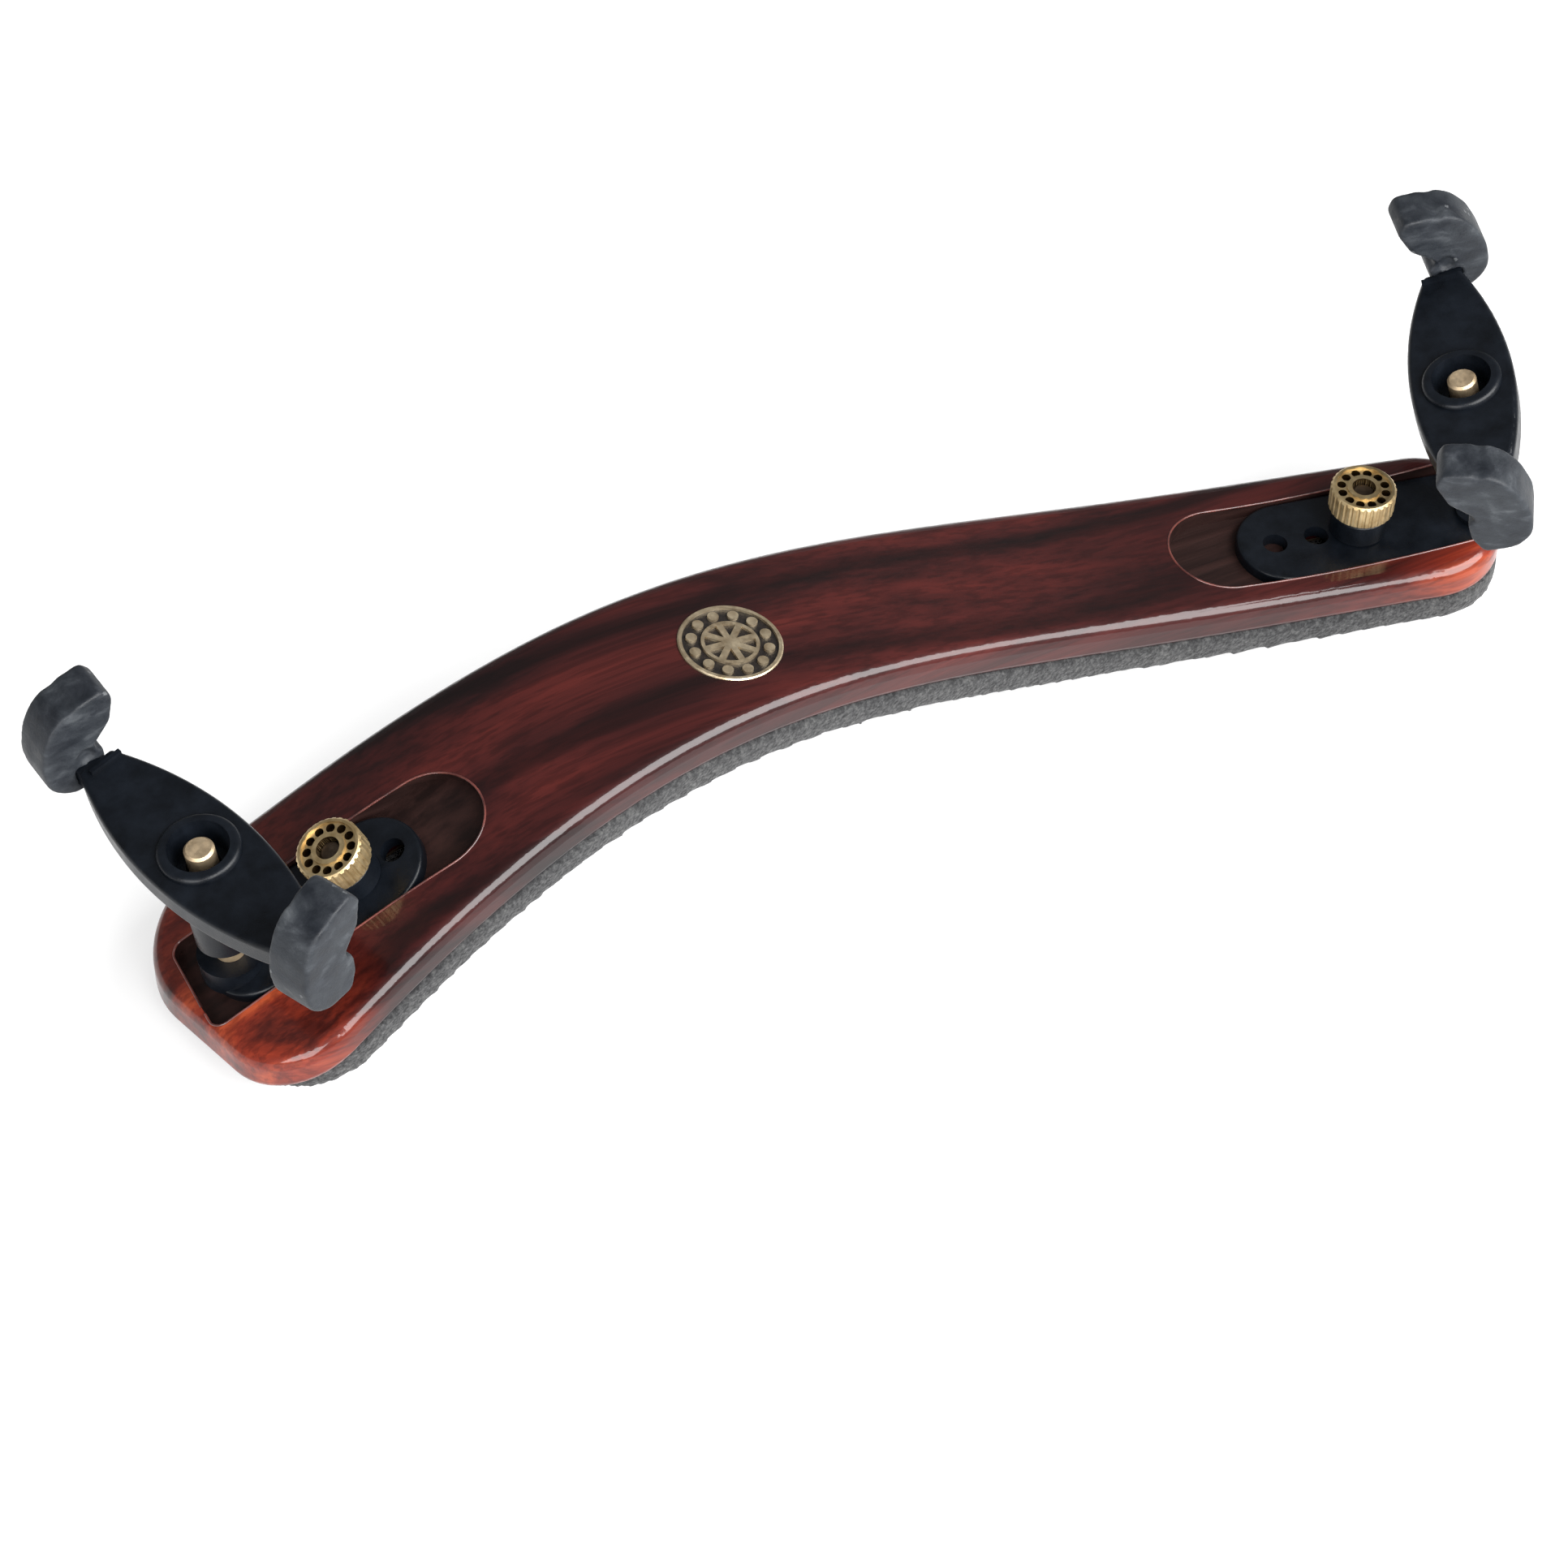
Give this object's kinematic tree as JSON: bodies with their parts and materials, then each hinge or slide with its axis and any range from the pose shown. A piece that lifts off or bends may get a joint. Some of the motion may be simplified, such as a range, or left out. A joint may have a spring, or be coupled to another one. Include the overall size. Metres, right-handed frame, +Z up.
{
  "type": "violin shoulder rest",
  "caption": "Curved lacquered wooden shoulder rest with a foam pad, a round brass medallion and screw-height, swivelling clamp forks with rubber boots at both ends.",
  "frame": {"origin": "middle of the underside of the whole part's box, the foam pad resting on the floor", "axes": "+X from the wide lower end to the narrow end of the bar, +Y away from the player, +Z up from the foam pad to the forks"},
  "size_m": [0.2702, 0.0718, 0.0592],
  "materials": {
    "lacquered_wood": "glossy dark red-brown lacquer over straight grain",
    "foam": "soft dark grey sponge, matt and finely pitted",
    "black_plastic": "black moulded plastic, satin",
    "boot_rubber": "grey-black soft rubber",
    "brass": "turned brass, knurled edge",
    "steel": "zinc-plated steel",
    "medallion_metal": "aged brass, lightly worn",
    "medallion_enamel": "dark enamel ground"
  },
  "bodies": {
    "bar": {"base_bar": "lacquered_wood", "foam_pad": "foam", "medallion_rim": "medallion_metal", "medallion_disc": "medallion_enamel", "medallion_rosette": "medallion_metal", "medallion_petals": "medallion_metal", "medallion_pins": "medallion_metal", "stud_rail_left": "steel", "stud_rail_right": "steel"},
    "plate_left": {"end_plate_left": "black_plastic", "clamp_stud_left": "steel", "leg_screw_left": "brass"},
    "collar_left": {"clamp_collar_left": "black_plastic"},
    "nut_left": {"clamp_nut_left": "brass"},
    "bush_left": {"fork_bush_left": "brass"},
    "fork_left": {"fork_left": "black_plastic", "boot_left_front": "boot_rubber", "boot_left_back": "boot_rubber"},
    "plate_right": {"end_plate_right": "black_plastic", "clamp_stud_right": "steel", "leg_screw_right": "brass"},
    "collar_right": {"clamp_collar_right": "black_plastic"},
    "nut_right": {"clamp_nut_right": "brass"},
    "bush_right": {"fork_bush_right": "brass"},
    "fork_right": {"fork_right": "black_plastic", "boot_right_front": "boot_rubber", "boot_right_back": "boot_rubber"}
  },
  "joints": [
    {"name": "plate_slide_left", "type": "slide", "parent": "bar", "child": "plate_left", "axis": [-0.9232, 0, -0.3843], "range_m": [-0.0088, 0.002]},
    {"name": "collar_lift_left", "type": "slide", "parent": "plate_left", "child": "collar_left", "axis": [-0.3843, 0, 0.9232], "range_m": [0, 0.0016]},
    {"name": "nut_turn_left", "type": "hinge", "parent": "collar_left", "child": "nut_left", "pos_m": [-0.0922, 0.00065, 0.02237], "axis": [-0.3843, 0, 0.9232], "range_deg": [0, 720]},
    {"name": "fork_height_left", "type": "slide", "parent": "plate_left", "child": "bush_left", "axis": [-0.1149, 0, 0.9934], "range_m": [-0.00225, 0.009]},
    {"name": "fork_turn_left", "type": "hinge", "parent": "bush_left", "child": "fork_left", "pos_m": [-0.11468, 0.00065, 0.01551], "axis": [-0.1149, 0, 0.9934], "range_deg": [-540, 2160]},
    {"name": "plate_slide_right", "type": "slide", "parent": "bar", "child": "plate_right", "axis": [0.9839, -0.1735, -0.0436], "range_m": [-0.0108, 0.0078]},
    {"name": "collar_lift_right", "type": "slide", "parent": "plate_right", "child": "collar_right", "axis": [0.043, -0.0076, 0.999], "range_m": [0, 0.0016]},
    {"name": "nut_turn_right", "type": "hinge", "parent": "collar_right", "child": "nut_right", "pos_m": [0.0976, 0.00405, 0.01043], "axis": [0.043, -0.0076, 0.999], "range_deg": [0, 720]},
    {"name": "fork_height_right", "type": "slide", "parent": "plate_right", "child": "bush_right", "axis": [-0.2192, 0.0989, 0.9707], "range_m": [-0.00225, 0.009]},
    {"name": "fork_turn_right", "type": "hinge", "parent": "bush_right", "child": "fork_right", "pos_m": [0.12098, -0.002, 0.01168], "axis": [-0.2192, 0.0989, 0.9707], "range_deg": [-540, 2160]}
  ],
  "couplings": [
    {"joint": "nut_turn_left", "follows": "collar_lift_left", "rad_per_m": 7854},
    {"joint": "fork_turn_left", "follows": "fork_height_left", "rad_per_m": 4188.8},
    {"joint": "nut_turn_right", "follows": "collar_lift_right", "rad_per_m": 7854},
    {"joint": "fork_turn_right", "follows": "fork_height_right", "rad_per_m": 4188.8}
  ]
}
